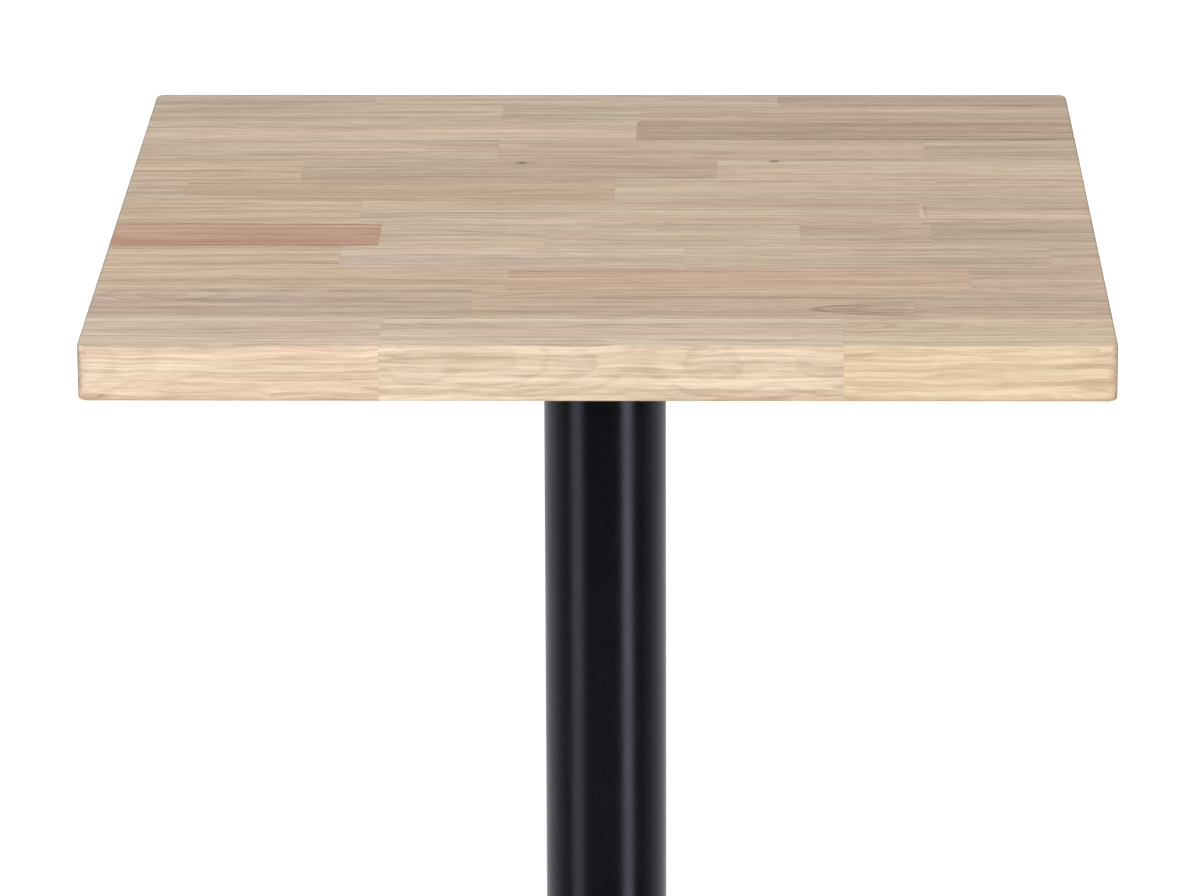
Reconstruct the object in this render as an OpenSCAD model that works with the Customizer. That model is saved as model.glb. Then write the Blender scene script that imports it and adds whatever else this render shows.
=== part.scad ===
// Bistro table: a square butcher-block top on a round steel column, with a
// cast four-arm base that stands on screw-in levelling glides.
// The origin is on the floor, on the column's axis. +Z is up, +Y is the back.

/* [Table] */
// Height of the tabletop's surface above the floor
table_h = 750; // [650:10:1100]

/* [Tabletop] */
// Side of the square top
top_w = 600; // [550:10:800]
// Thickness of the top
top_t = 34; // [30:1:50]
// Radius of the top's rounded long edges
edge_r = 2; // [2:0.5:5]
// Radius of the top's four corners, seen from above
corner_r = 6; // [6:1:20]

/* [Column] */
// Outer diameter of the column
column_d = 76; // [70:1:90]
// Wall thickness of the column
column_wall = 2; // [1.5:0.5:3]

/* [Base] */
// Distance between the tips of two opposite arms
base_span = 560; // [500:10:700]
// Width of a base arm where it leaves the hub
arm_root_w = 68; // [60:1:76]
// Width of a base arm at its rounded toe
arm_toe_w = 46; // [42:1:56]
// Wall thickness of the hollow casting
cast_wall = 7; // [5:1:8]

/* [Spider] */
// Distance between the tips of two opposite spider arms
spider_span = 340; // [320:10:400]

/* [Glides] */
// Diameter of a glide's nylon pad
pad_d = 34; // [30:1:38]

/* [Hidden] */
$fn = 96;
run_fit = 0.08;  // radial gap of a turning or sliding fit
seat_fit = 0.2;  // radial gap of a part that slips in and stays
arm_angles = [45, 135, 225, 315];
corner_names = ["rear_right", "rear_left", "front_left", "front_right"];

// Widths of the staves from front to back, as shares of the top's depth
stave_shares = [57, 61, 48, 52, 51, 57, 53, 46, 53, 48, 42, 32];
function sum_to(list, n) = n == 0 ? 0 : list[n - 1] + sum_to(list, n - 1);
function stave_y(i) =
    top_w * (sum_to(stave_shares, i) / sum_to(stave_shares, len(stave_shares)) - 0.5);

// Heights above the floor, from the bottom up
pad_h = 8;
collar_z = pad_h + 0.4;
arm_z = collar_z + 5.6;  // lower rim of the base, where the glides' collars stop
toe_z = arm_z + 24;
root_z = arm_z + 40;
base_web_z = arm_z + 30;
seat_z = arm_z + 50;  // where the column stands
under_z = table_h - top_t;
column_top_z = under_z - 25;
spider_web_z = column_top_z - 5;
web_t = 12;  // thickness of the two webs that the tie rod clamps
spigot_h = 12;

// Base
toe_r = base_span / 2 - arm_toe_w / 2;  // distance of a glide from the axis
nose = 22;    // length of a toe's rounded nose
nose_h = 12;
boss_r = 14;
hub_r = 62;
hub_sweep = 18;
foot_recess = 12;

// Column
column_r = column_d / 2;
bore_r = column_r - column_wall;
neck_r = column_r + 6;
cup_r = bore_r - cast_wall;

// Spider
spider_arm_w = 42;
spider_tip_w = 34;
spider_tip_h = 9;
spider_wall = 5;
screw_places = [96, 150];  // distances from the axis along each spider arm

// Fasteners: M12 tie rod, 6 mm wood screws, M10 glide studs
rod_r = 6;
rod_hole_r = 6.5;
nut_flats = 19;
nut_h = 10;
washer_t = 3;
lock_t = 2.5;
upper_washer_r = 15;
lower_washer_r = 18;
lock_washer_r = 10.5;
screw_r = 3;
screw_hole_r = 3.4;
screw_l = 25;
screw_tip = 6;
screw_head_r = 6;
screw_head_h = 3.6;
stud_r = 5;
stud_l = 18;
collar_flats = 17;
disc_z = 3;  // floor of the socket inside a pad
disc_r = 8;
disc_h = 1.8;
waist_r = 6;

WOOD = [0.80, 0.71, 0.60];
BLACK = [0.10, 0.10, 0.12];
ZINC = [0.72, 0.73, 0.74];
NYLON = [0.05, 0.05, 0.05];

// ---- shared shapes ----

module ring(outer, inner, z0, h) {
    translate([0, 0, z0]) difference() {
        cylinder(r = outer, h = h);
        translate([0, 0, -1]) cylinder(r = inner, h = h + 2);
    }
}

module hexagon(flats, z0, h) {
    translate([0, 0, z0]) cylinder(d = flats / cos(30), h = h, $fn = 6);
}

module hex_nut(z0) {
    difference() {
        hexagon(nut_flats, z0, nut_h);
        translate([0, 0, z0 - 1]) cylinder(r = rod_r + run_fit, h = nut_h + 2);
    }
}

module round_rect(w, d, r) {
    square([w - 2 * r, d], center = true);
    square([w, d - 2 * r], center = true);
    for (x = [-1, 1], y = [-1, 1])
        translate([x * (w / 2 - r), y * (d / 2 - r)]) circle(r = r);
}

// Places its child on each arm, at a distance from the axis
module on_arms(distance) {
    for (a = arm_angles) rotate(a) translate([distance, 0, 0]) children();
}

// Plan of an arm along +X, from x = start to a round tip. The inset makes it
// narrower all round.
module arm_plan(start, tip_x, root_w, tip_w, inset) {
    round_x = tip_x - tip_w / 2;
    function half_w(x) = (root_w + (tip_w - root_w) * x / round_x) / 2 - inset;
    polygon([
        [start, -half_w(start)], [round_x, -half_w(round_x)],
        [round_x, half_w(round_x)], [start, half_w(start)]
    ]);
    translate([round_x, 0]) circle(r = half_w(round_x));
}

// Cuts an arm's plan to the side view given as the child, lowered by drop
module arm_block(start, tip_x, root_w, tip_w, inset = 0, drop = 0) {
    intersection() {
        linear_extrude(table_h) arm_plan(start, tip_x, root_w, tip_w, inset);
        translate([0, 0, -drop]) rotate([90, 0, 0])
            linear_extrude(root_w + 2, center = true) children();
    }
}

// ---- tabletop ----

// The whole top before it is divided: a slab with rounded edges and corners
module top_blank() {
    translate([0, 0, under_z + top_t / 2]) intersection() {
        linear_extrude(top_t, center = true) round_rect(top_w, top_w, corner_r);
        rotate([90, 0, 0])
            linear_extrude(top_w + 2, center = true) round_rect(top_w, top_t, edge_r);
        rotate([90, 0, 90])
            linear_extrude(top_w + 2, center = true) round_rect(top_w, top_t, edge_r);
    }
}

// Pilot holes for the spider's screws
module pilot_holes() {
    for (r = screw_places) on_arms(r) translate([0, 0, under_z - 1])
        cylinder(r = screw_r + seat_fit, h = screw_l - spider_wall + 2);
}

module stave(i) {
    color(WOOD) difference() {
        intersection() {
            top_blank();
            translate([-top_w, stave_y(i), 0])
                cube([2 * top_w, stave_y(i + 1) - stave_y(i), table_h]);
        }
        pilot_holes();
    }
}

// ---- under the top ----

module spider_side() {
    tip = spider_span / 2;
    polygon([
        [0, column_top_z], [neck_r, column_top_z], [tip, under_z - spider_tip_h],
        [tip, under_z], [0, under_z]
    ]);
}

// Four channel arms on a hub, with a spigot that fits into the column
module spider() {
    tip = spider_span / 2;
    color(BLACK) difference() {
        union() {
            on_arms(0) arm_block(0, tip, spider_arm_w, spider_tip_w) spider_side();
            translate([0, 0, column_top_z]) cylinder(r = neck_r, h = under_z - column_top_z);
            translate([0, 0, column_top_z - spigot_h])
                cylinder(r = bore_r - seat_fit, h = spigot_h + 1);
        }
        on_arms(0) arm_block(neck_r + spider_wall, tip, spider_arm_w, spider_tip_w,
            spider_wall, spider_wall) spider_side();
        // recess for the nut above the web, and a cup below it
        translate([0, 0, spider_web_z + web_t]) cylinder(r = upper_washer_r + 2, h = under_z);
        translate([0, 0, spider_web_z - spigot_h]) cylinder(r = cup_r, h = spigot_h);
        cylinder(r = rod_hole_r, h = table_h);
        for (r = screw_places) on_arms(r) cylinder(r = screw_hole_r, h = table_h);
    }
}

// Pan-head wood screws, with a cross recess in the head
module spider_screws() {
    shank = screw_l - screw_tip;
    color(ZINC) for (r = screw_places) on_arms(r)
        translate([0, 0, under_z - spider_wall]) difference() {
            union() {
                cylinder(r = screw_r, h = shank);
                translate([0, 0, shank]) cylinder(r1 = screw_r, r2 = 0.5, h = screw_tip);
                translate([0, 0, -screw_head_h]) cylinder(r = screw_head_r, h = screw_head_h);
            }
            for (a = [0, 90]) rotate(a) translate([-3, -0.6, -screw_head_h - 1])
                cube([6, 1.2, 3]);
        }
}

// ---- column and tie rod ----

module column_tube() {
    color(BLACK) ring(column_r, bore_r, seat_z, column_top_z - seat_z);
}

// Its ends stand past the nuts, more at the bottom than at the top
module tie_rod() {
    bottom = base_web_z - washer_t - lock_t - nut_h - 4;
    top = spider_web_z + web_t + washer_t + nut_h + 2;
    color(ZINC) translate([0, 0, bottom]) cylinder(r = rod_r, h = top - bottom);
}

module upper_rod_washer() {
    color(ZINC) ring(upper_washer_r, rod_hole_r, spider_web_z + web_t, washer_t);
}

module upper_rod_nut() {
    color(ZINC) hex_nut(spider_web_z + web_t + washer_t);
}

module lower_rod_washer() {
    color(ZINC) ring(lower_washer_r, rod_hole_r, base_web_z - washer_t, washer_t);
}

// Split spring washer: a ring with one gap
module lower_lock_washer() {
    color(ZINC) difference() {
        ring(lock_washer_r, rod_r + seat_fit, base_web_z - washer_t - lock_t, lock_t);
        translate([0, -0.8, 0]) cube([lock_washer_r + 1, 1.6, table_h]);
    }
}

module lower_rod_nut() {
    color(ZINC) hex_nut(base_web_z - washer_t - lock_t - nut_h);
}

// ---- base ----

// Side view of a base arm: its back falls in a hollow curve from the hub to the
// toe, and ends in a rounded nose
module base_arm_side() {
    tip = base_span / 2;
    crest = tip - nose;
    back = [for (t = [0 : 0.125 : 1]) [t * crest, toe_z + (root_z - toe_z) * pow(1 - t, 1.7)]];
    front = [for (a = [75 : -15 : 0])
        [crest + nose * cos(a), toe_z - nose_h + nose_h * sin(a)]];
    polygon(concat(back, front, [[tip, arm_z], [0, arm_z]]));
}

// Half section of the hub's outside: a foot, a hollow sweep up to the neck, and
// the spigot that the column slips over
module hub_outside() {
    spigot_r = bore_r - seat_fit;
    neck_z = seat_z - 8;
    difference() {
        polygon([
            [0, arm_z], [hub_r, arm_z], [hub_r, neck_z - hub_sweep],
            [hub_r - hub_sweep, neck_z], [neck_r, neck_z],
            [neck_r, seat_z], [spigot_r, seat_z], [spigot_r, seat_z + spigot_h - 1],
            [spigot_r - 1, seat_z + spigot_h], [0, seat_z + spigot_h]
        ]);
        translate([hub_r, neck_z]) circle(r = hub_sweep);
    }
}

// Half section of the hub's hollows: a wide recess in the foot, the room for the
// nut and washers, the rod's hole through the web, and the cup above it
module hub_inside() {
    translate([0, arm_z - 1]) square([hub_r - cast_wall, foot_recess + 1]);
    translate([0, arm_z]) square([cup_r, base_web_z - arm_z]);
    translate([0, arm_z]) square([rod_hole_r, seat_z]);
    translate([0, base_web_z + web_t]) square([cup_r, seat_z]);
}

module base_casting() {
    tip = base_span / 2;
    color(BLACK) difference() {
        union() {
            difference() {
                union() {
                    on_arms(0) arm_block(0, tip, arm_root_w, arm_toe_w) base_arm_side();
                    rotate_extrude() hub_outside();
                }
                on_arms(0) arm_block(hub_r, tip, arm_root_w, arm_toe_w, cast_wall, cast_wall)
                    base_arm_side();
            }
            // bosses that the glides' studs screw into
            on_arms(toe_r) translate([0, 0, arm_z]) cylinder(r = boss_r, h = toe_z - arm_z - 3);
        }
        rotate_extrude() hub_inside();
        on_arms(toe_r) translate([0, 0, arm_z - 1]) cylinder(r = stud_r + run_fit, h = stud_l + 2);
    }
}

// ---- glides ----

// Steel stem: a stud, a hexagonal collar, a waist and a disc held in the pad
module glide_stem(k) {
    bottom = disc_z + run_fit;
    color(ZINC) rotate(arm_angles[k]) translate([toe_r, 0, 0]) {
        translate([0, 0, arm_z]) cylinder(r = stud_r, h = stud_l);
        hexagon(collar_flats, collar_z, arm_z - collar_z);
        translate([0, 0, bottom]) cylinder(r = waist_r, h = collar_z - bottom);
        translate([0, 0, bottom]) cylinder(r = disc_r, h = disc_h);
    }
}

// Nylon pad: a domed disc with an undercut socket for the stem
module glide_pad(k) {
    pad_r = pad_d / 2;
    rim = 4;
    color(NYLON) rotate(arm_angles[k]) translate([toe_r, 0, 0]) difference() {
        rotate_extrude() polygon([
            [0, 0], [pad_r - 1, 0], [pad_r, 1], [pad_r, rim], [pad_r - 4, pad_h], [0, pad_h]
        ]);
        translate([0, 0, disc_z]) cylinder(r = disc_r + run_fit, h = disc_h + 2 * run_fit);
        translate([0, 0, disc_z]) cylinder(r = waist_r + run_fit, h = pad_h);
    }
}

// ---- assembly ----

for (i = [0 : len(stave_shares) - 1])
    stave(i);
spider();
spider_screws();
column_tube();
tie_rod();
upper_rod_nut();
upper_rod_washer();
lower_rod_nut();
lower_lock_washer();
lower_rod_washer();
base_casting();
for (k = [0 : 3]) {
    glide_stem(k);
    glide_pad(k);
}
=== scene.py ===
"""Looks of the bistro table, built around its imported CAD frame. Metres, +Z up, front at -Y."""
import math
import random

import bmesh
import bpy
from mathutils import Matrix, Vector


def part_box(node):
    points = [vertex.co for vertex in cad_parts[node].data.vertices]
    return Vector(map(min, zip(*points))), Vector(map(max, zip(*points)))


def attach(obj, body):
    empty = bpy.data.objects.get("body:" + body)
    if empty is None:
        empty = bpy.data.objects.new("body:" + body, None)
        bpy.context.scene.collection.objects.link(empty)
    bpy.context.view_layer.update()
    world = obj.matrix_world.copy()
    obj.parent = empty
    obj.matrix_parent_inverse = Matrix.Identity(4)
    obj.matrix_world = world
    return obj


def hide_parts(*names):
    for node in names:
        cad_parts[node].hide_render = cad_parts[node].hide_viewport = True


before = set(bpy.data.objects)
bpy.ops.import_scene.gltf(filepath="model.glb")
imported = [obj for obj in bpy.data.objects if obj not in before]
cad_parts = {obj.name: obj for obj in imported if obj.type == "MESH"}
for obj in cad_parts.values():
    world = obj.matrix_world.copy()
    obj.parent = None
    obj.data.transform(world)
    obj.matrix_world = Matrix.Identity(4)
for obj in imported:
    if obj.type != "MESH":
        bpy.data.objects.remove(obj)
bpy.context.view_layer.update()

MM = 0.001
CORNERS = ("rear_right", "rear_left", "front_left", "front_right")
RANDOM = random.Random(11)

# ---------------------------------------------------------------- small helpers


def linear(color):
    """An sRGB colour out of 255 as linear light."""
    def channel(value):
        value /= 255
        return value / 12.92 if value <= 0.04045 else ((value + 0.055) / 1.055) ** 2.4
    return tuple(channel(value) for value in color)


def finish_piece(piece, material, slot, body, *nodes):
    """Gives a piece its material and body, and hides the CAD nodes it stands for."""
    piece.data.materials.clear()
    piece.data.materials.append(material)
    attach(piece, body)
    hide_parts(*nodes)


def mesh_piece(name, bm, smooth_angle=30):
    """Turns a bmesh into an object with smooth faces and sharp edges past an angle."""
    bmesh.ops.recalc_face_normals(bm, faces=bm.faces)
    limit = math.radians(smooth_angle)
    for face in bm.faces:
        face.smooth = True
    for edge in bm.edges:
        edge.smooth = edge.calc_face_angle(0) < limit
    mesh = bpy.data.meshes.new(name)
    bm.to_mesh(mesh)
    bm.free()
    piece = bpy.data.objects.new(name, mesh)
    bpy.context.scene.collection.objects.link(piece)
    return piece


def turned(bm, profile, centre=(0, 0), segments=48, shape=None):
    """Adds a body of revolution and returns its rings. The profile is a list of (radius,
    height), and shape(angle, radius, height) may change each point's radius."""
    rings = []
    for radius, height in profile:
        if radius < 1e-6:
            rings.append([bm.verts.new((*centre, height))])
            continue
        ring = []
        for step in range(segments):
            angle = math.tau * step / segments
            r = shape(angle, radius, height) if shape else radius
            ring.append(bm.verts.new((
                centre[0] + r * math.cos(angle), centre[1] + r * math.sin(angle), height)))
        rings.append(ring)
    for lower, upper in zip(rings, rings[1:]):
        join_rings(bm, lower, upper, segments)
    return rings


def join_rings(bm, lower, upper, segments):
    """Adds the faces between two rings of points. A ring of one point is a pole."""
    for step in range(segments):
        after = (step + 1) % segments
        if len(lower) == 1:
            bm.faces.new((lower[0], upper[after], upper[step]))
        elif len(upper) == 1:
            bm.faces.new((lower[step], lower[after], upper[0]))
        else:
            bm.faces.new((lower[step], lower[after], upper[after], upper[step]))


def rounded_profile(points, radius, steps):
    """A (radius, height) profile with its inner corners rounded. The end points stay."""
    out = [points[0]]
    for before, corner, after in zip(points, points[1:], points[2:]):
        here = Vector(corner)
        back = Vector(before) - here
        ahead = Vector(after) - here
        cut = min(radius, back.length * 0.45, ahead.length * 0.45)
        start = here + back.normalized() * cut
        end = here + ahead.normalized() * cut
        for step in range(steps + 1):
            t = step / steps
            point = start * (1 - t) ** 2 + here * 2 * t * (1 - t) + end * t ** 2
            out.append((point.x, point.y))
    out.append(points[-1])
    return out


# ---------------------------------------------------------------- node graphs


class Graph:
    """A material's node tree, written as a chain of small calls that return sockets."""

    def __init__(self, name):
        self.material = bpy.data.materials.new(name)
        self.material.use_nodes = True
        self.tree = self.material.node_tree
        self.shader = self.tree.nodes["Principled BSDF"]
        self.output = self.tree.nodes["Material Output"]

    def node(self, kind, **settings):
        """A new node with some of its properties set."""
        made = self.tree.nodes.new(kind)
        for name, value in settings.items():
            setattr(made, name, value)
        return made

    def set(self, socket, value):
        """Links a socket to another, or gives it a plain value. None leaves it as it is."""
        if isinstance(value, bpy.types.NodeSocket):
            self.tree.links.new(value, socket)
        elif value is not None:
            socket.default_value = value

    def math(self, operation, a, b=None, clamp=False):
        made = self.node("ShaderNodeMath", operation=operation, use_clamp=clamp)
        self.set(made.inputs[0], a)
        self.set(made.inputs[1], b)
        return made.outputs[0]

    def vector(self, operation, a, b=None):
        made = self.node("ShaderNodeVectorMath", operation=operation)
        self.set(made.inputs[0], a)
        self.set(made.inputs[1], b)
        return made.outputs["Value" if operation == "LENGTH" else "Vector"]

    def ramp(self, value, low, high, out_low=0.0, out_high=1.0, smooth=True):
        """Moves a value from one range to another and clamps it, with eased ends if smooth."""
        made = self.node("ShaderNodeMapRange", clamp=True)
        made.interpolation_type = "SMOOTHSTEP" if smooth else "LINEAR"
        for socket, setting in zip(made.inputs, (value, low, high, out_low, out_high)):
            self.set(socket, setting)
        return made.outputs[0]

    def noise(self, where, scale, detail=2.0, roughness=0.5, color=False):
        made = self.node("ShaderNodeTexNoise")
        self.set(made.inputs["Vector"], where)
        self.set(made.inputs["Scale"], scale)
        self.set(made.inputs["Detail"], detail)
        self.set(made.inputs["Roughness"], roughness)
        return made.outputs["Color" if color else "Fac"]

    def mix(self, factor, a, b, blend="MIX"):
        made = self.node("ShaderNodeMix", data_type="RGBA", blend_type=blend)
        # its colour sockets come after the plain and the vector ones
        self.set(made.inputs[0], factor)
        self.set(made.inputs[6], a)
        self.set(made.inputs[7], b)
        return made.outputs[2]

    def position(self):
        """The place on the piece as modelled, which its pose doesn't change."""
        return self.node("ShaderNodeTexCoord").outputs["Object"]

    def split(self, where):
        """The x, y and z of a place."""
        made = self.node("ShaderNodeSeparateXYZ")
        self.set(made.inputs[0], where)
        return made.outputs

    def attribute(self, name, part="Color"):
        return self.node("ShaderNodeAttribute", attribute_name=name).outputs[part]

    def bump(self, height, strength, distance):
        made = self.node("ShaderNodeBump")
        self.set(made.inputs["Height"], height)
        self.set(made.inputs["Strength"], strength)
        self.set(made.inputs["Distance"], distance)
        self.set(self.shader.inputs["Normal"], made.outputs[0])

    def base(self, color):
        self.set(self.shader.inputs["Base Color"], color)

    def rough(self, value):
        self.set(self.shader.inputs["Roughness"], value)


# ---------------------------------------------------------------- the wood

# Each tone as it looks in soft light, sRGB out of 255
TONES = {
    "cream": (205, 185, 165),
    "sand": (199, 178, 153),
    "honey": (201, 177, 149),
    "tan": (191, 168, 143),
    "ash": (189, 169, 147),
    "rose": (196, 168, 140),
    "umber": (181, 157, 132),
    "clay": (185, 147, 119),
}
WOOD_LEVEL = 0.73  # share of a tone that is the wood's own colour, and not the light
PINKER = (1.03, 0.98, 0.97, 1.0)  # these four multiply a tone
GREENER = (0.98, 1.01, 0.99, 1.0)
EARLY_WOOD = (1.20, 1.19, 1.16, 1.0)
LATE_WOOD = (0.50, 0.41, 0.33, 1.0)
KNOT_BROWN = (0.055, 0.035, 0.022, 1.0)

# The staves from front to back. Each length has its right end, in mm from the left edge
# of the top, and its tone.
STAVES = [
    [(174, "cream"), (442, "cream"), (600, "sand")],
    [(225, "ash"), (485, "tan"), (600, "tan")],
    [(245, "honey"), (520, "rose"), (600, "tan")],
    [(142, "honey"), (350, "cream"), (570, "sand"), (600, "tan")],
    [(164, "clay"), (265, "sand"), (420, "sand"), (500, "tan"), (600, "ash")],
    [(150, "honey"), (495, "sand"), (600, "sand")],
    [(38, "sand"), (306, "rose"), (600, "sand")],
    [(108, "honey"), (370, "tan"), (600, "sand")],
    [(230, "sand"), (502, "tan"), (600, "ash")],
    [(318, "sand"), (600, "umber")],
    [(230, "sand"), (320, "ash"), (600, "tan")],
    [(145, "ash"), (410, "sand"), (600, "umber")],
]

# Streaks in the grain, in mm from the left edge and from the back edge of the top:
# start x, start y, end x, end y, width and depth of colour (below zero is paler)
STREAKS = [
    (410, 30, 595, 31, 2.0, 0.8),
    (0, 47, 65, 46, 1.6, 0.9),
    (60, 48, 228, 50, 1.4, 0.7),
    (110, 56, 225, 54, 1.5, -0.6),
    (240, 66, 310, 68, 3.0, 0.6),
    (320, 120, 592, 120, 1.6, 1.2),
    (420, 173, 502, 173, 1.4, 0.9),
    (108, 196, 165, 196, 1.5, -0.7),
    (110, 200, 230, 200, 1.4, 0.7),
    (108, 217, 370, 217, 1.6, 0.9),
    (465, 222, 595, 223, 1.6, 1.2),
    (500, 227, 590, 227, 1.5, -0.6),
    (0, 224, 300, 225, 1.4, 0.8),
    (82, 282, 150, 282, 1.8, -1.2),
    (160, 296, 410, 296, 1.6, 0.9),
    (160, 304, 330, 303, 1.4, 0.5),
    (0, 332, 160, 332, 1.6, 0.9),
    (166, 338, 265, 358, 1.8, 0.8),
    (0, 381, 165, 381, 1.6, 0.9),
    (250, 440, 590, 441, 1.3, 0.8),
    (0, 484, 240, 485, 1.8, 0.6),
    (228, 499, 272, 486, 1.6, 1.0),
    (272, 486, 350, 484, 1.6, 0.8),
    (170, 544, 225, 544, 1.6, 1.0),
    (0, 583, 120, 583, 1.6, 0.5),
    (495, 280, 495, 322, 1.2, -0.7),
    (498, 282, 498, 320, 0.9, 0.9),
]
KNOTS = [(246, 181), (406, 177)]
ARCHES = (424, 523, 66, 17)  # tip x and y, length and half height of an arched figure

WAVE = 6 * MM  # how far the fibres wander across the grain
RING_GAP = 2.6 * MM  # from one growth ring to the next
EDGE_R = 2 * MM  # rounding of the top's upper and lower edges
CORNER_R = 6 * MM  # rounding of its corners in plan
ARC_STEPS = 6


def stave_name(index):
    return "stave_%02d" % (index + 1)


def stave_box(index):
    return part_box(stave_name(index))


TOP_LOW = stave_box(0)[0]
TOP_HIGH = stave_box(len(STAVES) - 1)[1]


def from_top_corner(x, y):
    """A place on the top, given in mm from its left and back edges."""
    return TOP_LOW.x + x * MM, TOP_HIGH.y - y * MM


def streak_mask(g, x, y, waver, streak):
    """1 on a thin line along the grain that fades at both ends, 0 elsewhere."""
    x0, y0, x1, y1, width, depth = streak
    start = from_top_corner(x0, y0)
    end = from_top_corner(x1, y1)
    length = math.hypot(end[0] - start[0], end[1] - start[1])
    along = ((end[0] - start[0]) / length, (end[1] - start[1]) / length)
    dx = g.math("SUBTRACT", x, start[0])
    dy = g.math("SUBTRACT", y, start[1])
    run = g.math("ADD", g.math("MULTIPLY", dx, along[0]), g.math("MULTIPLY", dy, along[1]))
    off = g.math("SUBTRACT", g.math("MULTIPLY", dy, along[0]), g.math("MULTIPLY", dx, along[1]))
    off = g.math("ABSOLUTE", g.math("ADD", off, waver))
    line = g.ramp(off, 0.25 * width * MM, width * MM, 1.0, 0.0)
    fade = min(12 * MM, 0.3 * length)
    ends = g.math("MULTIPLY", g.ramp(run, 0.0, fade), g.ramp(run, length - fade, length, 1.0, 0.0))
    return g.math("MULTIPLY", g.math("MULTIPLY", line, ends), depth)


def knot_mask(g, x, y, place):
    """A pinhead knot with a soft ring."""
    centre = from_top_corner(*place)
    dx = g.math("DIVIDE", g.math("SUBTRACT", x, centre[0]), 4.2 * MM)
    dy = g.math("DIVIDE", g.math("SUBTRACT", y, centre[1]), 3.0 * MM)
    distance = g.math("SQRT", g.math("ADD", g.math("POWER", dx, 2.0), g.math("POWER", dy, 2.0)))
    return g.math("ADD", g.ramp(distance, 0.3, 1.0, 0.8, 0.0), g.ramp(distance, 0.8, 2.4, 0.15, 0.0))


def arches_mask(g, x, y, waver):
    """Two nested arches of grain with a tip to the left, and the tint inside them."""
    tip_x, tip_y, length, half = ARCHES
    tip = from_top_corner(tip_x, tip_y)
    along = g.math("DIVIDE", g.math("SUBTRACT", x, tip[0]), length * MM)
    off = g.math("DIVIDE", g.math("ADD", g.math("SUBTRACT", y, tip[1]), waver), half * MM)
    inside = g.math("SUBTRACT", along, g.math("POWER", g.math("ABSOLUTE", off), 2.0))
    total = g.math("MULTIPLY", g.ramp(inside, 0.0, 0.08), 0.65)
    for level, width, depth in ((0.03, 0.09, 1.1), (0.35, 0.09, 0.3)):
        near = g.math("ABSOLUTE", g.math("SUBTRACT", inside, level))
        total = g.math("ADD", total, g.ramp(near, 0.2 * width, width, depth, 0.0))
    return g.math("MULTIPLY", total, g.ramp(along, 0.75, 1.05, 1.0, 0.0))


def on_stave(index, y):
    """Whether a distance from the top's back edge, in mm, falls on this stave."""
    low, high = stave_box(index)
    return low.y <= from_top_corner(0, y)[1] <= high.y


def marks_of(g, index, x, y, waver):
    """The streaks and the arched figure that lie on one stave, summed."""
    total = 0.0
    for streak in STREAKS:
        if on_stave(index, (streak[1] + streak[3]) / 2):
            total = g.math("ADD", total, streak_mask(g, x, y, waver, streak))
    if on_stave(index, ARCHES[1]):
        total = g.math("ADD", total, arches_mask(g, x, y, waver))
    return total


def knots_of(g, index, x, y):
    """The knots that lie on one stave, summed."""
    total = 0.0
    for knot in KNOTS:
        if on_stave(index, knot[1]):
            total = g.math("ADD", total, knot_mask(g, x, y, knot))
    return total


def fibre(g, place, along, across, detail=2.0, roughness=0.55):
    """Noise drawn out along the grain, with so many cells a metre along and across it."""
    return g.noise(g.vector("MULTIPLY", place, (along, across, across)), 1.0, detail, roughness)


def wavy(g, place):
    """The place moved a little across the grain, so that the fibres wander."""
    drift = g.noise(g.vector("MULTIPLY", place, (16.0, 45.0, 45.0)), 1.0, 2.0, 0.5, color=True)
    drift = g.vector("SUBTRACT", drift, (0.5, 0.5, 0.5))
    return g.vector("ADD", place, g.vector("MULTIPLY", drift, (0.0, WAVE, WAVE)))


def late_wood(g, place, shifted):
    """The dark side of each growth ring, round a pith line that wanders along the length."""
    wander = g.noise(g.vector("MULTIPLY", shifted, (5.0, 1.0, 1.0)), 1.0, 2.0, 0.5, color=True)
    wander = g.vector("MULTIPLY", g.vector("SUBTRACT", wander, (0.5, 0.5, 0.5)),
                      (0.0, 50 * MM, 50 * MM))
    from_pith = g.vector("SUBTRACT", g.vector("ADD", place, wander), g.attribute("pith", "Vector"))
    radius = g.vector("LENGTH", g.vector("MULTIPLY", from_pith, (0.0, 1.0, 1.0)))
    ragged = g.math("MULTIPLY", fibre(g, shifted, 30.0, 160.0), 0.7)
    ring = g.math("FRACT", g.math("ADD", g.math("DIVIDE", radius, RING_GAP), ragged))
    late = g.math("MULTIPLY", g.ramp(ring, 0.45, 0.88), g.ramp(ring, 0.88, 1.0, 1.0, 0.0))
    return g.math("MULTIPLY", late, g.ramp(fibre(g, shifted, 2.0, 9.0), 0.35, 0.65, 0.15, 0.6))


def glue_lines(g, index, x, y):
    """Thin lines along the stave's glued sides, and fainter ones at its butt joints."""
    low, high = stave_box(index)
    glued = []
    if index > 0:
        glued.append(g.math("SUBTRACT", y, low.y))
    if index < len(STAVES) - 1:
        glued.append(g.math("SUBTRACT", high.y, y))
    total = 0.0
    for distance in glued:
        total = g.math("ADD", total, g.ramp(distance, 0.15 * MM, 0.8 * MM, 1.0, 0.0))
    for end, _ in STAVES[index][:-1]:
        butt = g.math("ABSOLUTE", g.math("SUBTRACT", x, low.x + end * MM))
        total = g.math("ADD", total, g.ramp(butt, 0.1 * MM, 0.5 * MM, 0.25, 0.0))
    return total


def add_scaled(g, total, value, weight):
    return g.math("ADD", total, g.math("MULTIPLY", value, weight))


def end_grain(g):
    """1 on the two ends of the top, where the fibres are cut across, 0 elsewhere."""
    normal = g.split(g.node("ShaderNodeNewGeometry").outputs["Normal"])
    return g.ramp(g.math("ABSOLUTE", normal[0]), 0.6, 0.9)


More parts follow.
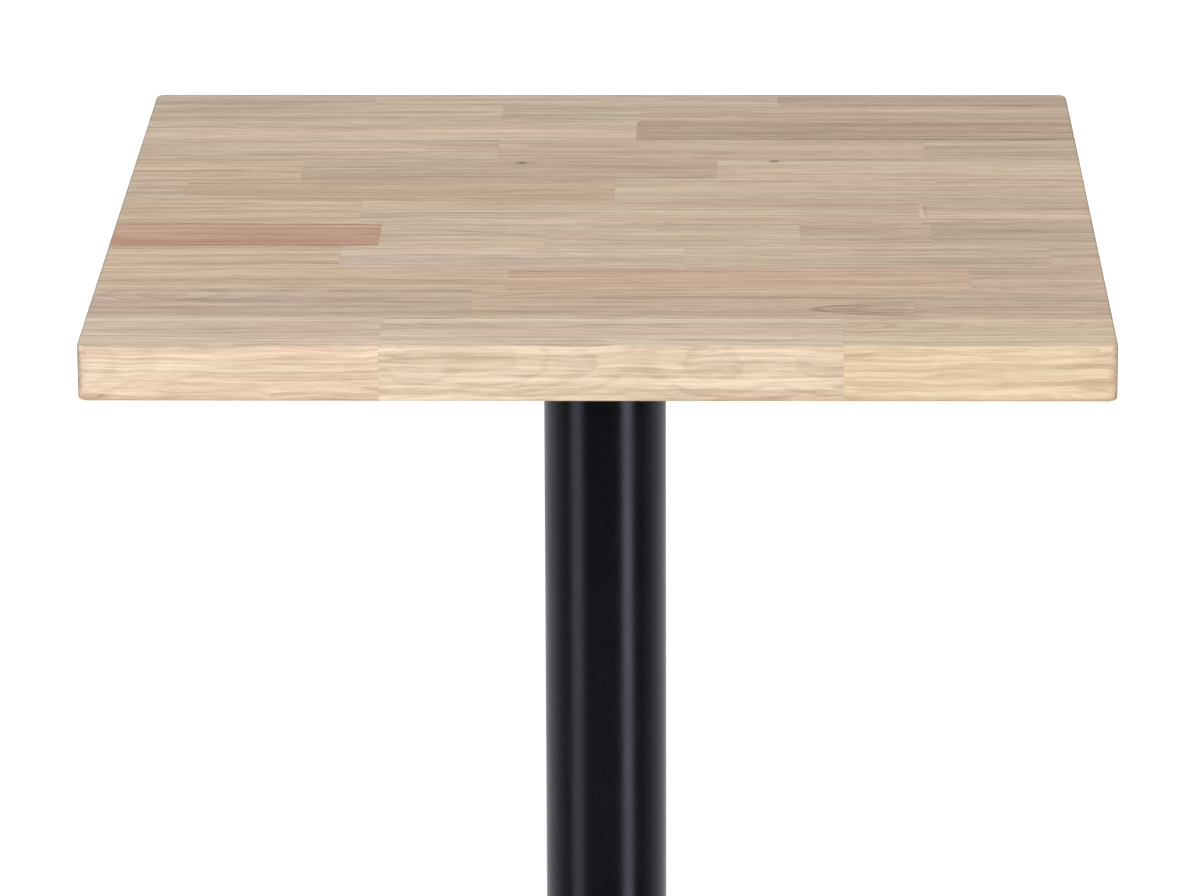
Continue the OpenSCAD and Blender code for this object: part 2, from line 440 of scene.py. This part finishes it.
def wood_color(g, dark, curly):
    """The tone of the length, drifting between two casts, and darker or paler with the grain."""
    tone = g.attribute("tone")
    pinker = g.mix(1.0, tone, PINKER, "MULTIPLY")
    greener = g.mix(1.0, tone, GREENER, "MULTIPLY")
    tone = g.mix(g.ramp(fibre(g, curly, 2.0, 90.0), 0.35, 0.65), pinker, greener)
    early = g.mix(1.0, tone, EARLY_WOOD, "MULTIPLY")
    late = g.mix(1.0, tone, LATE_WOOD, "MULTIPLY")
    return g.mix(g.ramp(dark, -0.8, 1.8, smooth=False), early, late)


def wood_material(index):
    """Wood of one stave. Attributes on its mesh give each length its tone, the place of its
    pith, which the growth rings run round, and a shift that sets its grain apart."""
    g = Graph("wood_%02d" % (index + 1))
    place = g.position()
    x, y, z = g.split(place)
    shifted = g.vector("ADD", place, g.attribute("shift", "Vector"))
    curly = wavy(g, shifted)

    fibres = fibre(g, curly, 9.0, 520.0, 3.0, 0.62)
    fine = fibre(g, curly, 45.0, 1700.0, 2.0, 0.6)
    bands = fibre(g, curly, 2.5, 210.0)
    broad = fibre(g, shifted, 3.0, 60.0)
    pores = g.ramp(fibre(g, curly, 130.0, 2600.0, 1.0), 0.66, 0.74)
    dark = late_wood(g, place, shifted)
    for layer, weight in ((fibres, 3.5), (fine, 1.8), (bands, 2.6), (broad, 1.9)):
        dark = add_scaled(g, dark, g.math("SUBTRACT", layer, 0.5), weight)
    dark = add_scaled(g, dark, pores, 0.3)

    # the marks lie on the upper face, and the end grain soaks up more oil
    waver = g.math("MULTIPLY", g.math("SUBTRACT", fibre(g, shifted, 22.0, 0.0), 0.5), 3.0 * MM)
    upper = g.ramp(z, TOP_HIGH.z - 8 * MM, TOP_HIGH.z - 2 * MM)
    dark = add_scaled(g, dark, marks_of(g, index, x, y, waver), upper)
    patchy = g.ramp(fibre(g, shifted, 14.0, 14.0, 1.0), 0.35, 0.65, 0.15, 0.8)
    dark = add_scaled(g, dark, glue_lines(g, index, x, y), patchy)
    dark = add_scaled(g, dark, end_grain(g), 0.30)

    knots = g.math("MULTIPLY", knots_of(g, index, x, y), upper, clamp=True)
    g.base(g.mix(knots, wood_color(g, dark, curly), KNOT_BROWN))
    g.rough(g.ramp(add_scaled(g, fibres, pores, 0.4), 0.3, 0.8, 0.50, 0.64))
    g.shader.inputs["Specular IOR Level"].default_value = 0.10
    relief = add_scaled(g, g.math("MULTIPLY", dark, -0.5), fine, 0.3)
    g.bump(relief, 0.10, 0.25 * MM)
    return g.material


def stave_outline(index, inset):
    """The stave's plan, anticlockwise from its front left corner, drawn in from the top's
    four outer sides. The top's own corners are arcs, and glued corners are points."""
    low, high = stave_box(index)
    points = []
    for sx, sy, start in ((-1, -1, 180), (1, -1, 270), (1, 1, 0), (-1, 1, 90)):
        side = high.x if sx > 0 else low.x
        end = high.y if sy > 0 else low.y
        if (sy < 0 and index == 0) or (sy > 0 and index == len(STAVES) - 1):
            centre = (side - sx * CORNER_R, end - sy * CORNER_R)
            radius = CORNER_R - inset
            for step in range(ARC_STEPS + 1):
                angle = math.radians(start + 90 * step / ARC_STEPS)
                points.append((centre[0] + radius * math.cos(angle),
                               centre[1] + radius * math.sin(angle)))
        else:
            points.append((side - sx * inset, end))
    return points


def stave_mesh(index):
    """One stave with the top's rounded edges where they show, cut across at its butt joints."""
    low, high = stave_box(index)
    turns = [math.pi / 2 * step / ARC_STEPS for step in range(ARC_STEPS + 1)]
    rise = [(EDGE_R * (1 - math.sin(t)), EDGE_R * (1 - math.cos(t))) for t in turns]
    layers = [(inset, low.z + up) for inset, up in rise]
    layers += [(inset, high.z - up) for inset, up in reversed(rise)]
    bm = bmesh.new()
    rings = [[bm.verts.new((x, y, z)) for x, y in stave_outline(index, inset)]
             for inset, z in layers]
    for lower, upper in zip(rings, rings[1:]):
        join_rings(bm, lower, upper, len(lower))
    bm.faces.new(reversed(rings[0]))
    bm.faces.new(rings[-1])
    cuts = [low.x + end * MM for end, _ in STAVES[index][:-1]]
    for x in cuts:
        everything = bm.verts[:] + bm.edges[:] + bm.faces[:]
        bmesh.ops.bisect_plane(bm, geom=everything, plane_co=(x, 0, 0), plane_no=(1, 0, 0))
    return bm, cuts


def length_looks(index):
    """A tone, a grain shift and a pith line for each length of one stave, varied at random."""
    low, high = stave_box(index)
    looks = []
    for _, tone_name in STAVES[index]:
        level = WOOD_LEVEL * RANDOM.uniform(0.985, 1.015)
        tone = [level * value for value in linear(TONES[tone_name])] + [1.0]
        shift = [RANDOM.uniform(-4, 4) for _ in range(3)]
        side = RANDOM.choice((-1, 1))
        pith_y = (low.y + high.y) / 2 + side * RANDOM.uniform(25, 80) * MM
        pith_z = high.z - RANDOM.uniform(30, 90) * MM
        if index == 0:
            # straight behind the front edge, so that its rings show wide there
            pith_y = low.y + RANDOM.uniform(45, 60) * MM
            pith_z = (low.z + high.z) / 2 + RANDOM.uniform(-6, 6) * MM
        looks.append((tone, shift, (0.0, pith_y, pith_z)))
    return looks


def add_stave(index):
    """One stave. Its mesh carries the looks of each length for the material to read."""
    bm, cuts = stave_mesh(index)
    name = stave_name(index)
    piece = mesh_piece(name + "_wood", bm, 35)
    piece.modifiers.new("flat_faces", "WEIGHTED_NORMAL").keep_sharp = True
    data = piece.data
    tone = data.attributes.new("tone", "FLOAT_COLOR", "CORNER")
    shift = data.attributes.new("shift", "FLOAT_VECTOR", "CORNER")
    pith = data.attributes.new("pith", "FLOAT_VECTOR", "CORNER")
    looks = length_looks(index)
    for polygon in data.polygons:
        length = sum(polygon.center.x > cut for cut in cuts)
        for loop in polygon.loop_indices:
            tone.data[loop].color, shift.data[loop].vector, pith.data[loop].vector = looks[length]
    finish_piece(piece, wood_material(index), "butcher_block", "table", name)


# ---------------------------------------------------------------- metal and plastic


WHITE_GLOSS = (1.0, 1.0, 1.0, 1.0)
COOL_GLOSS = (0.76, 0.79, 1.0, 1.0)  # the highlights on the column are a little blue


def powder_coat(name, color, roughness, grain, relief, specular, gloss_tint):
    """Satin powder coat: a fine orange peel and slight changes of gloss."""
    g = Graph(name)
    place = g.position()
    peel = g.noise(place, grain, 3.0, 0.55)
    patches = g.noise(place, 14.0, 2.0)
    dust = g.ramp(g.noise(place, 900.0, 1.0), 0.70, 0.78)
    dull = [1.6 * value + 0.001 for value in color]
    tint = g.mix(g.ramp(patches, 0.3, 0.7, 0.0, 0.35), (*color, 1.0), (*dull, 1.0))
    g.base(g.mix(g.math("MULTIPLY", dust, 0.10), tint, (0.08, 0.08, 0.085, 1.0)))
    g.rough(g.ramp(g.math("ADD", g.math("MULTIPLY", patches, 0.6), g.math("MULTIPLY", peel, 0.4)),
                   0.3, 0.7, roughness - 0.03, roughness + 0.04))
    g.shader.inputs["Specular IOR Level"].default_value = specular
    g.shader.inputs["Specular Tint"].default_value = gloss_tint
    g.bump(peel, 0.25, relief)
    return g.material


def zinc_material():
    """Bright zinc plate with a faint spangle, and rubbed duller in places."""
    g = Graph("zinc_plate")
    place = g.position()
    spangle = g.node("ShaderNodeTexVoronoi")
    g.set(spangle.inputs["Vector"], place)
    spangle.inputs["Scale"].default_value = 420.0
    blotch = g.noise(place, 160.0, 3.0, 0.6)
    tint = g.mix(g.ramp(blotch, 0.35, 0.7), (0.60, 0.62, 0.65, 1.0), (0.70, 0.68, 0.62, 1.0))
    crystals = g.math("MULTIPLY", spangle.outputs["Distance"], 0.35)
    g.base(g.mix(crystals, tint, (0.5, 0.52, 0.55, 1.0)))
    g.shader.inputs["Metallic"].default_value = 1.0
    g.rough(g.ramp(blotch, 0.3, 0.75, 0.24, 0.42))
    g.bump(blotch, 0.12, 0.1 * MM)
    return g.material


def nylon_material():
    """Moulded black nylon, scuffed near the floor."""
    g = Graph("black_nylon")
    place = g.position()
    z = g.split(place)[2]
    grain = g.noise(place, 1600.0, 2.0, 0.6)
    scratches = g.ramp(g.noise(place, 300.0, 3.0, 0.7), 0.55, 0.75)
    worn = g.math("MULTIPLY", scratches, g.ramp(z, -12 * MM, 5 * MM, 1.0, 0.15))
    g.base(g.mix(worn, (0.014, 0.014, 0.015, 1.0), (0.075, 0.074, 0.072, 1.0)))
    g.rough(g.ramp(grain, 0.3, 0.7, 0.48, 0.62))
    g.bump(grain, 0.3, 0.08 * MM)
    return g.material


# ---------------------------------------------------------------- column, castings, fasteners


def add_column(material):
    """The tube: an open pipe with its outer end edges eased."""
    low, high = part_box("column_tube")
    radius = (high.x - low.x) / 2
    bore = radius - 2 * MM
    ease = 0.4 * MM
    segments = 160
    rows = 24
    profile = [(radius, low.z + ease)]
    profile += [(radius, low.z + (high.z - low.z) * row / rows) for row in range(1, rows)]
    profile += [(radius, high.z - ease), (radius - ease, high.z)]
    profile += [(bore, high.z), (bore, low.z), (radius - ease, low.z)]
    bm = bmesh.new()
    rings = turned(bm, profile, segments=segments)
    join_rings(bm, rings[-1], rings[0], segments)
    piece = mesh_piece("column_coated", bm, 40)
    finish_piece(piece, material, "black_tube", "table", "column_tube")


def is_cast_edge(edge, hub, rim):
    """True for the sharp edges that the mould rounds: all of them outside the hub's radius,
    and inside it only the outer ones above the rim's height."""
    if edge.calc_face_angle(0) <= math.radians(28):
        return False
    middle = (edge.verts[0].co + edge.verts[1].co) / 2
    return math.hypot(middle.x, middle.y) > hub or (edge.is_convex and middle.z > rim)


def cast_copy(node, name, radius, hub, rim):
    """A copy of a CAD casting with its edges rounded as a sand mould leaves them."""
    piece = bpy.data.objects.new(name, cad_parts[node].data.copy())
    bpy.context.scene.collection.objects.link(piece)
    bm = bmesh.new()
    bm.from_mesh(piece.data)
    bmesh.ops.remove_doubles(bm, verts=bm.verts, dist=0.01 * MM)
    bmesh.ops.dissolve_limit(bm, angle_limit=math.radians(1.0), verts=bm.verts, edges=bm.edges)
    bmesh.ops.bevel(bm, geom=[edge for edge in bm.edges if is_cast_edge(edge, hub, rim)],
                    offset=radius, segments=3, profile=0.5, affect="EDGES",
                    clamp_overlap=False, miter_outer="ARC")
    bmesh.ops.dissolve_degenerate(bm, dist=0.01 * MM, edges=bm.edges)
    bmesh.ops.triangulate(bm, faces=[face for face in bm.faces if len(face.verts) > 4])
    for face in bm.faces:
        face.smooth = True
    for edge in bm.edges:
        edge.smooth = edge.calc_face_angle(0) < math.radians(40)
    bm.to_mesh(piece.data)
    bm.free()
    piece.modifiers.new("flat_faces", "WEIGHTED_NORMAL").keep_sharp = True
    return piece


def hexagon(flats):
    """A shape that turns a round body into a hexagon of that size over flats."""
    def shape(angle, radius, height):
        folded = (angle + math.pi / 6) % (math.pi / 3) - math.pi / 6
        return min(radius, flats / 2 / math.cos(folded))
    return shape


def hex_profile(bottom, top, flats, inner):
    """Profile of a hexagonal body whose corners are chamfered at both ends, from a circle
    just inside its flats."""
    corner = flats / 2 / math.cos(math.pi / 6)
    face = flats / 2 * 0.96
    slope = 0.55
    rise = (corner - face) * slope
    steps = 4
    shares = [step / steps for step in range(steps + 1)]
    points = [(inner, bottom)]
    points += [(face + (corner - face) * share, bottom + rise * share) for share in shares]
    points += [(corner - (corner - face) * share, top - rise * (1 - share)) for share in shares]
    points.append((inner, top))
    return points


def helix(minor, pitch, low, high):
    """A shape that cuts a screw thread into a round body between two heights. It runs out
    over one pitch at either end."""
    steepness = 1.9
    root = 0.25

    def shape(angle, radius, height):
        if not low <= height <= high:
            return radius
        phase = (height / pitch - angle / math.tau) % 1.0
        tooth = min(1.0, max(0.0, steepness * (1 - abs(2 * phase - 1)) - root))
        fade = min(1.0, (height - low) / pitch, (high - height) / pitch)
        depth = (radius - minor) * (1 - tooth)
        return radius - depth * max(0.0, fade)
    return shape


def levels(low, high, step):
    """Heights from low to high, about one step apart."""
    count = max(1, round((high - low) / step))
    return [low + (high - low) * row / count for row in range(count + 1)]


def add_tie_rod(material):
    """The rod inside the column, with a thread at each end."""
    low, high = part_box("tie_rod")
    radius = 6 * MM
    minor = 5 * MM
    pitch = 1.75 * MM
    thread = 45 * MM
    ease = 0.8 * MM
    cut_low = helix(minor, pitch, low.z - pitch, low.z + thread)
    cut_high = helix(minor, pitch, high.z - thread, high.z + pitch)

    def shape(angle, r, height):
        if r < radius:
            return r
        return cut_low(angle, r, height) if height < low.z + thread else cut_high(angle, r, height)

    rows = levels(low.z + ease, low.z + thread, pitch / 6)
    rows += levels(high.z - thread, high.z - ease, pitch / 6)
    profile = [(0, low.z), (minor, low.z)] + [(radius, row) for row in rows]
    profile += [(minor, high.z), (0, high.z)]
    bm = bmesh.new()
    turned(bm, profile, segments=36, shape=shape)
    finish_piece(mesh_piece("tie_rod_threaded", bm, 60), material, "zinc_steel", "table", "tie_rod")


def ring_profile(outer, inner, low, high, ease):
    """Profile of a flat ring whose four edges are eased."""
    return [(inner, low + ease), (inner + ease, low), (outer - ease, low), (outer, low + ease),
            (outer, high - ease), (outer - ease, high), (inner + ease, high), (inner, high - ease)]


def add_ring(node, name, inner, material, flats=None):
    """A washer or a nut, as a closed ring round the column's axis."""
    low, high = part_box(node)
    segments = 72
    bm = bmesh.new()
    if flats:
        chamfer = 0.5 * MM
        profile = hex_profile(low.z, high.z, flats, inner + chamfer)
        profile += [(inner, high.z - chamfer), (inner, low.z + chamfer)]
        shape = hexagon(flats)
    else:
        profile = ring_profile((high.x - low.x) / 2, inner, low.z, high.z, 0.25 * MM)
        shape = None
    rings = turned(bm, profile, segments=segments, shape=shape)
    join_rings(bm, rings[-1], rings[0], segments)
    finish_piece(mesh_piece(name, bm, 25), material, "zinc_steel", "table", node)


def add_lock_washer(material):
    """A split spring washer: its two ends stand slightly apart in height."""
    low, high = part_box("lower_lock_washer")
    outer = 10.4 * MM
    inner = 6.3 * MM
    gap = math.radians(9)
    steps = 64
    rise = 0.35 * MM
    bm = bmesh.new()
    sections = []
    for step in range(steps + 1):
        share = step / steps
        angle = gap / 2 + (math.tau - gap) * share
        lift = rise * (share - 0.5)
        bottom = low.z + rise / 2 + lift
        top = high.z - rise / 2 + lift
        direction = Vector((math.cos(angle), math.sin(angle), 0))
        corners = ((inner, bottom), (outer, bottom), (outer, top), (inner, top))
        sections.append([bm.verts.new(direction * r + Vector((0, 0, z))) for r, z in corners])
    for before, after in zip(sections, sections[1:]):
        for a in range(4):
            b = (a + 1) % 4
            bm.faces.new((before[a], before[b], after[b], after[a]))
    bm.faces.new(reversed(sections[0]))
    bm.faces.new(sections[-1])
    corner_edges = [edge for edge in bm.edges if edge.calc_face_angle(0) > 1.0]
    bmesh.ops.bevel(bm, geom=corner_edges, offset=0.2 * MM, segments=2, affect="EDGES",
                    profile=0.5)
    piece = mesh_piece("spring_washer", bm, 40)
    finish_piece(piece, material, "zinc_steel", "table", "lower_lock_washer")


def screw_centres(reach):
    """Where the eight wood screws stand, two on each arm of the spider."""
    inner = reach * 96 / 150
    return [(sx * distance, sy * distance)
            for distance in (inner, reach) for sx in (-1, 1) for sy in (-1, 1)]


def add_screws(material):
    """Pan-head wood screws with a cross recess and a coarse thread."""
    low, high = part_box("spider_screws")
    head_h = 3.6 * MM
    head_r = 6 * MM
    radius = 3 * MM
    minor = 2.1 * MM
    pitch = 2.6 * MM
    tip = 6 * MM
    seat = low.z + head_h
    thread_low = seat + 1 * MM
    thread_high = high.z - tip
    thread = helix(minor, pitch, thread_low, thread_high)

    def shape(angle, r, height):
        if height > seat + 0.5 * MM and abs(r - radius) < 1e-7:
            return thread(angle, r, height)
        in_recess = height <= low.z + 1.55 * MM and 0.5 * MM < r < 2.7 * MM
        if in_recess:
            cross = abs(math.cos(2 * angle)) ** 0.7
            return r * (0.35 + 0.65 * cross)
        return r

    recess = [(0, low.z + 1.7 * MM), (0.75 * MM, low.z + 1.5 * MM), (2.6 * MM, low.z + 0.1 * MM)]
    dome = [(head_r * math.sin(turn), low.z + head_h * 0.75 * (1 - math.cos(turn)))
            for turn in map(math.radians, (32, 45, 60, 75, 90))]
    under = [(head_r, seat - 0.3 * MM), (head_r - 0.3 * MM, seat), (radius, seat)]
    shank = [(radius, row) for row in levels(thread_low, thread_high, pitch / 8)]
    point = [(radius * (1 - 0.85 * step / 6), thread_high + tip * step / 6) for step in range(1, 6)]
    profile = recess + dome + under + shank + point + [(0, high.z)]
    bm = bmesh.new()
    for centre in screw_centres(high.x - head_r):
        turned(bm, profile, centre, 40, shape)
    piece = mesh_piece("wood_screws", bm, 40)
    finish_piece(piece, material, "zinc_steel", "table", "spider_screws")


GLIDE_WAIST = 6 * MM  # radius of the stem where it leaves the pad
DISC_R = 8 * MM  # the stem's lower end, which the pad is moulded round


def add_stem(corner, centre, pad_top, material):
    """A glide's steel stem: a disc in the pad, a hexagonal collar and a threaded stud."""
    node = "glide_stem_" + corner
    low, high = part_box(node)
    stud_r = 5 * MM
    minor = 4.15 * MM
    pitch = 1.5 * MM
    flats = 17 * MM
    ease = 0.8 * MM
    disc_ease = 0.3 * MM
    collar_low = pad_top + 0.4 * MM
    collar_high = collar_low + 5.6 * MM
    thread_low = collar_high + 1 * MM
    thread = helix(minor, pitch, thread_low, high.z + pitch)
    hexed = hexagon(flats)
    near = 1e-7

    def shape(angle, radius, height):
        if height > collar_high + 0.5 * MM:
            return thread(angle, radius, height) if radius >= stud_r - near else radius
        if collar_low - near <= height <= collar_high + near and radius > GLIDE_WAIST + near:
            return hexed(angle, radius, height)
        return radius

    disc_high = low.z + 1.8 * MM
    profile = [(0, low.z), (DISC_R - disc_ease, low.z), (DISC_R, low.z + disc_ease),
               (DISC_R, disc_high), (GLIDE_WAIST, disc_high)]
    profile += hex_profile(collar_low, collar_high, flats, GLIDE_WAIST)
    profile += [(stud_r, collar_high)]
    profile += [(stud_r, row) for row in levels(thread_low, high.z - ease, pitch / 6)]
    profile += [(stud_r - ease, high.z), (0, high.z)]
    bm = bmesh.new()
    turned(bm, profile, centre, 48, shape)
    stem = mesh_piece("threaded_stem_" + corner, bm, 35)
    finish_piece(stem, material, "zinc_steel", "stem_" + corner, node)


def add_pad(corner, centre, radius, top, material):
    """A glide's nylon pad: a ribbed sole, a rounded skirt and a pocket for the stem's disc."""
    socket = GLIDE_WAIST + 0.08 * MM
    pocket = DISC_R + 0.08 * MM
    pocket_high = top - 3.1 * MM
    pocket_low = 3 * MM
    groove = 0.5 * MM
    sole_r = 14 * MM
    side = 4 * MM
    sole = [(0, 0)]
    for start in (4 * MM, 8 * MM, 12 * MM):
        sole += [(start, 0), (start + 0.6 * MM, groove)]
        sole += [(start + 1.4 * MM, groove), (start + 2 * MM, 0)]
    skirt = rounded_profile([(sole_r, 0), (radius, 0), (radius, side), (radius - side, top),
                             (socket, top)], 1.2 * MM, 5)
    inside = [(socket, pocket_high), (pocket, pocket_high), (pocket, pocket_low), (0, pocket_low)]
    bm = bmesh.new()
    turned(bm, sole + skirt[1:] + inside, centre, 72)
    pad = mesh_piece("nylon_pad_" + corner, bm, 35)
    finish_piece(pad, material, "nylon", "pad_" + corner, "glide_pad_" + corner)


def add_glide(corner, steel, nylon):
    """One levelling glide, whose stem and pad stand on one axis."""
    low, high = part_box("glide_pad_" + corner)
    centre = ((low.x + high.x) / 2, (low.y + high.y) / 2)
    add_stem(corner, centre, high.z, steel)
    add_pad(corner, centre, (high.x - low.x) / 2, high.z, nylon)


# ---------------------------------------------------------------- studio

TOP_CENTRE = Vector((0.0, 0.0, TOP_HIGH.z))
WHITE = (1.0, 1.0, 1.0)


def add_camera():
    """A long lens from the front, a little above the top."""
    data = bpy.data.cameras.new("camera")
    data.sensor_width = 36
    data.lens = 203.2
    data.clip_end = 200
    camera = bpy.data.objects.new("camera", data)
    bpy.context.scene.collection.objects.link(camera)
    turn = Matrix.Rotation(math.radians(0.95), 4, "Z")
    tilt = Matrix.Rotation(math.radians(90 - 16.9), 4, "X")
    roll = Matrix.Rotation(math.radians(-0.21), 4, "Z")
    place = Matrix.Translation(TOP_CENTRE + Vector((0.062, -4.028, 1.071)))
    camera.matrix_world = place @ turn @ tilt @ roll
    bpy.context.scene.camera = camera


def add_area_light(name, place, target, size, power):
    """A white rectangular light, unseen by the camera, that faces its target."""
    data = bpy.data.lights.new(name, "AREA")
    data.shape = "RECTANGLE"
    data.size, data.size_y = size
    data.energy = power
    data.color = WHITE
    light = bpy.data.objects.new(name, data)
    light.location = place
    light.rotation_euler = (Vector(target) - Vector(place)).to_track_quat("-Z", "Y").to_euler()
    light.visible_camera = False
    bpy.context.scene.collection.objects.link(light)
    return light


def add_lights():
    """A front light for the wood, a back light for the floor, and two upright strips that
    light nothing and only show as reflections."""
    add_area_light("front_box", (-0.2, -3.2, 2.0), (0, 0, 0.6), (2.2, 1.4), 160)
    add_area_light("sweep_light", (0, 4.2, 3.4), (0, 3.6, 0), (6, 4), 230)
    strips = (("left_strip", (-1.70, -1.22, 0.35), (0.8, 2.2), 12),
              ("right_strip", (1.38, -1.48, 0.35), (0.6, 2.2), 18))
    for name, place, size, power in strips:
        strip = add_area_light(name, place, (0, 0, 0.35), size, power)
        strip.visible_diffuse = False


def add_world():
    """White to the camera. To everything else it is a dome, bright behind and dim in front."""
    world = bpy.data.worlds.new("studio")
    world.use_nodes = True
    tree = world.node_tree
    links = tree.links
    split = tree.nodes.new("ShaderNodeSeparateXYZ")
    links.new(tree.nodes.new("ShaderNodeTexCoord").outputs["Generated"], split.inputs[0])
    level = tree.nodes.new("ShaderNodeMapRange")
    level.interpolation_type = "SMOOTHSTEP"
    front_to_back = {"From Min": -0.4, "From Max": 0.6, "To Min": 0.12, "To Max": 0.85}
    for name, value in front_to_back.items():
        level.inputs[name].default_value = value
    links.new(split.outputs["Y"], level.inputs[0])
    dome = tree.nodes["Background"]
    dome.inputs["Color"].default_value = (0.95, 0.97, 1.0, 1.0)
    links.new(level.outputs[0], dome.inputs["Strength"])
    white = tree.nodes.new("ShaderNodeBackground")
    white.inputs["Color"].default_value = (*WHITE, 1.0)
    white.inputs["Strength"].default_value = 1.0
    choose = tree.nodes.new("ShaderNodeMixShader")
    path = tree.nodes.new("ShaderNodeLightPath")
    links.new(path.outputs["Is Camera Ray"], choose.inputs[0])
    links.new(dome.outputs[0], choose.inputs[1])
    links.new(white.outputs[0], choose.inputs[2])
    links.new(choose.outputs[0], tree.nodes["World Output"].inputs["Surface"])
    bpy.context.scene.world = world


def add_floor():
    """A plain white floor that fades out far from the table, and can't be seen from below
    or in reflections."""
    bm = bmesh.new()
    reach = 6
    bmesh.ops.create_grid(bm, x_segments=1, y_segments=1, size=reach)
    floor = mesh_piece("floor", bm)
    g = Graph("floor_white")
    g.base((0.86, 0.86, 0.86, 1.0))
    g.rough(0.9)
    g.shader.inputs["Specular IOR Level"].default_value = 0.0
    clear = g.node("ShaderNodeBsdfTransparent")
    side = g.node("ShaderNodeNewGeometry").outputs["Backfacing"]
    far = g.ramp(g.vector("LENGTH", g.position()), 1.5, 5.0)
    choose = g.node("ShaderNodeMixShader")
    g.set(choose.inputs[0], g.math("MAXIMUM", side, far))
    g.set(choose.inputs[1], g.shader.outputs[0])
    g.set(choose.inputs[2], clear.outputs[0])
    g.set(g.output.inputs["Surface"], choose.outputs[0])
    floor.data.materials.append(g.material)
    floor.visible_glossy = False


# ---------------------------------------------------------------- assembly

add_camera()
add_world()
add_lights()
add_floor()

black_tube = powder_coat("tube_coat", (0.0015, 0.0015, 0.0025), 0.27, 900.0, 0.02 * MM, 0.36,
                         COOL_GLOSS)
black_cast = powder_coat("cast_coat", (0.013, 0.013, 0.015), 0.42, 520.0, 0.22 * MM, 0.4,
                         WHITE_GLOSS)
zinc = zinc_material()
nylon = nylon_material()

for stave in range(len(STAVES)):
    add_stave(stave)
add_column(black_tube)
base = cast_copy("base_casting", "base_cast_iron", radius=1.6 * MM, hub=75 * MM, rim=59 * MM)
finish_piece(base, black_cast, "black_casting", "table", "base_casting")
spider = cast_copy("spider", "spider_cast_iron", radius=1 * MM, hub=50 * MM, rim=682 * MM)
finish_piece(spider, black_cast, "black_casting", "table", "spider")
add_tie_rod(zinc)
add_ring("upper_rod_nut", "upper_nut", 6.08 * MM, zinc, flats=19 * MM)
add_ring("lower_rod_nut", "lower_nut", 6.08 * MM, zinc, flats=19 * MM)
add_ring("upper_rod_washer", "upper_washer", 6.5 * MM, zinc)
add_ring("lower_rod_washer", "lower_washer", 6.5 * MM, zinc)
add_lock_washer(zinc)
add_screws(zinc)
for corner in CORNERS:
    add_glide(corner, zinc, nylon)

bpy.context.scene.view_settings.view_transform = "Standard"
